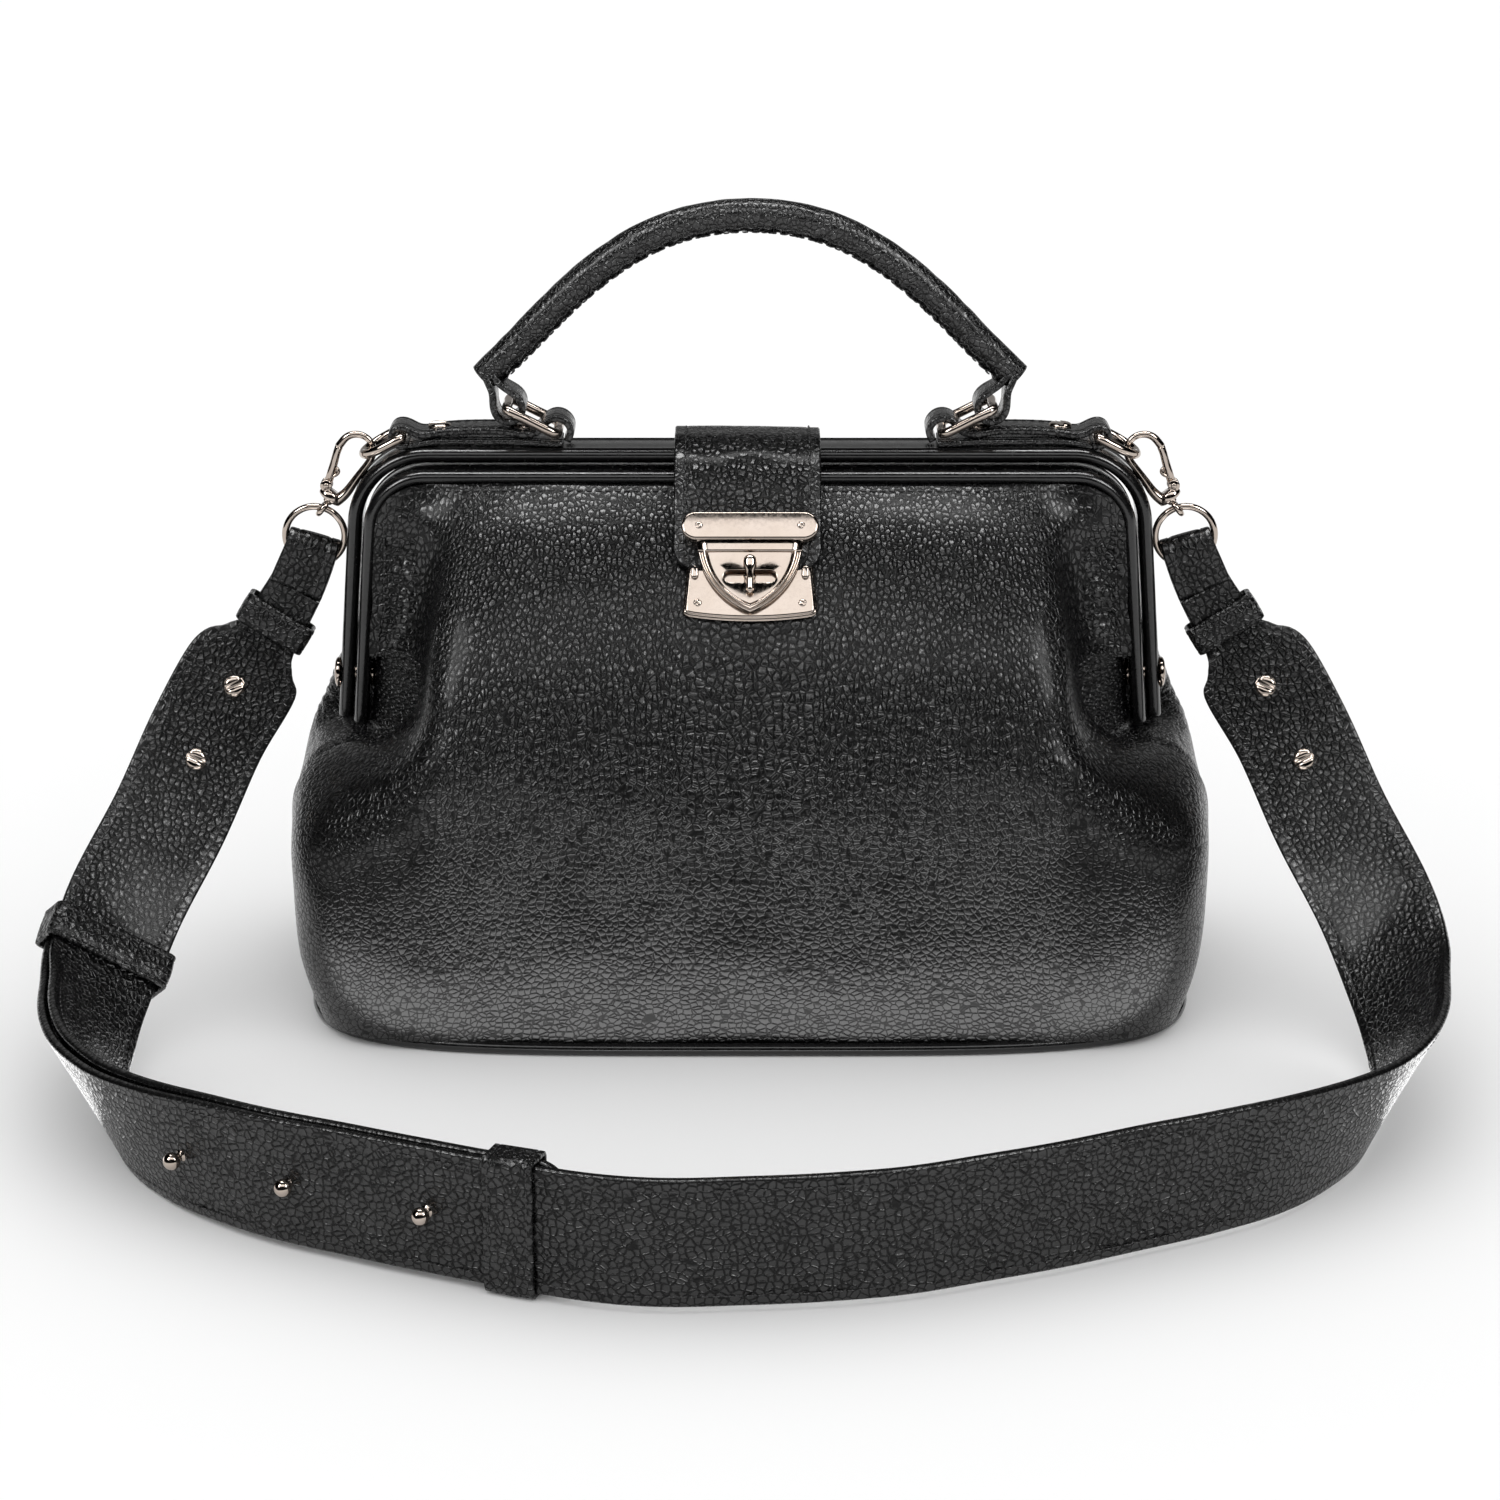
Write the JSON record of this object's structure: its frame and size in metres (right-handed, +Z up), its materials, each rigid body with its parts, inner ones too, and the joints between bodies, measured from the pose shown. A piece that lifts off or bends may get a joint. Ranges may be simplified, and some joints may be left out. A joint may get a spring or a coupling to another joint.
{
  "type": "doctor bag",
  "caption": "Small leather doctor bag with a hinged hoop frame, turn-lock flap, rolled top handle and a detachable shoulder strap.",
  "frame": {"origin": "middle of the base's flat underside, where the bag stands", "axes": "+X to the bag's right as seen from the front, +Y towards its back, +Z up"},
  "size_m": [0.4462, 0.3288, 0.2609],
  "materials": {
    "body_leather": "pebbled, semi-gloss",
    "edge_leather": "smooth, glossy",
    "strap_leather": "pebbled, semi-gloss",
    "lining_cloth": "twill",
    "base_board": "raw fibreboard",
    "cord_core": "twisted cotton cord",
    "frame_steel": "bare strip",
    "nickel": "polished warm nickel"
  },
  "bodies": {
    "bag": {"base_panel": "body_leather", "base_piping": "edge_leather", "base_board": "base_board", "front_panel_lower": "body_leather", "back_panel": "body_leather", "end_panel_l": "body_leather", "end_panel_r": "body_leather", "gusset_l": "body_leather", "gusset_r": "body_leather", "lining": "lining_cloth", "back_hoop_cover": "edge_leather", "back_hoop_core": "frame_steel", "hinge_rivet_l": "nickel", "hinge_rivet_r": "nickel", "hinge_washers": "nickel", "flap_tail": "body_leather", "tab_l": "edge_leather", "tab_r": "edge_leather", "tab_screws_l": "nickel", "tab_screws_r": "nickel", "handle_ring_l": "nickel", "handle_ring_r": "nickel", "strap_dring_l": "nickel", "strap_dring_r": "nickel", "handle_loop_l": "edge_leather", "handle_loop_r": "edge_leather"},
    "front_frame": {"front_hoop_cover": "edge_leather", "front_hoop_core": "frame_steel", "front_panel_upper": "body_leather", "lock_plate": "nickel", "lock_screws": "nickel", "lock_backing": "frame_steel"},
    "knob": {"turn_knob": "nickel"},
    "flap": {"flap": "body_leather", "hasp": "nickel", "hasp_screws": "nickel"},
    "handle": {"handle_roll": "strap_leather", "handle_core": "cord_core"},
    "strap": {"strap_short": "strap_leather", "strap_long": "strap_leather", "keeper_end_l": "strap_leather", "keeper_end_r": "strap_leather", "keeper_side": "strap_leather", "keeper_front": "strap_leather", "strap_screws_l": "nickel", "strap_screws_r": "nickel", "ball_studs": "nickel", "strap_ring_l": "nickel", "strap_ring_r": "nickel", "swivel_l": "nickel", "swivel_r": "nickel"},
    "hook_l": {"hook_l": "nickel", "gate_pin_l": "frame_steel"},
    "hook_r": {"hook_r": "nickel", "gate_pin_r": "frame_steel"},
    "gate_l": {"hook_gate_l": "nickel"},
    "gate_r": {"hook_gate_r": "nickel"}
  },
  "joints": [
    {"name": "frame_open", "type": "hinge", "parent": "bag", "child": "front_frame", "pos_m": [0, -0.0035, 0.106], "axis": [1, 0, 0], "range_deg": [0, 50], "deforming": ["front_panel_upper", "gusset_l", "gusset_r"]},
    {"name": "turn_knob", "type": "hinge", "parent": "front_frame", "child": "knob", "pos_m": [0, -0.04122, 0.14742], "axis": [0, -0.8115, 0.5843], "range_deg": [0, 90]},
    {"name": "flap_lift", "type": "hinge", "parent": "bag", "child": "flap", "pos_m": [0, 0.0098, 0.184], "axis": [-1, 0, 0], "range_deg": [0, 100]},
    {"name": "handle_swing", "type": "hinge", "parent": "bag", "child": "handle", "pos_m": [0, 0, 0.199], "axis": [1, 0, 0], "range_deg": [-60, 60], "deforming": ["handle_loop_l", "handle_loop_r"]},
    {"name": "strap_swing", "type": "hinge", "parent": "bag", "child": "strap", "pos_m": [0, 0, 0.17874], "axis": [-1, 0, 0], "range_deg": [0, 38]},
    {"name": "swivel_turn_l", "type": "hinge", "parent": "strap", "child": "hook_l", "pos_m": [-0.138, 0, 0.16045], "axis": [0.6157, 0, 0.788], "range_deg": [-6, 6]},
    {"name": "swivel_turn_r", "type": "hinge", "parent": "strap", "child": "hook_r", "pos_m": [0.138, 0, 0.16045], "axis": [-0.6157, 0, 0.788], "range_deg": [-6, 6]},
    {"name": "gate_open_l", "type": "hinge", "parent": "hook_l", "child": "gate_l", "pos_m": [-0.1364, 0, 0.16834], "axis": [0, 1, 0], "range_deg": [0, 20], "stiffness_Nm_per_rad": 0.01, "springref_deg": -5.73},
    {"name": "gate_open_r", "type": "hinge", "parent": "hook_r", "child": "gate_r", "pos_m": [0.1364, 0, 0.16834], "axis": [0, 1, 0], "range_deg": [-20, 0], "stiffness_Nm_per_rad": 0.01, "springref_deg": 5.73}
  ],
  "couplings": [
    {"joint": "flap_lift", "follows": "frame_open", "ratio": 2},
    {"joint": "turn_knob", "follows": "frame_open", "ratio": 1.8}
  ]
}
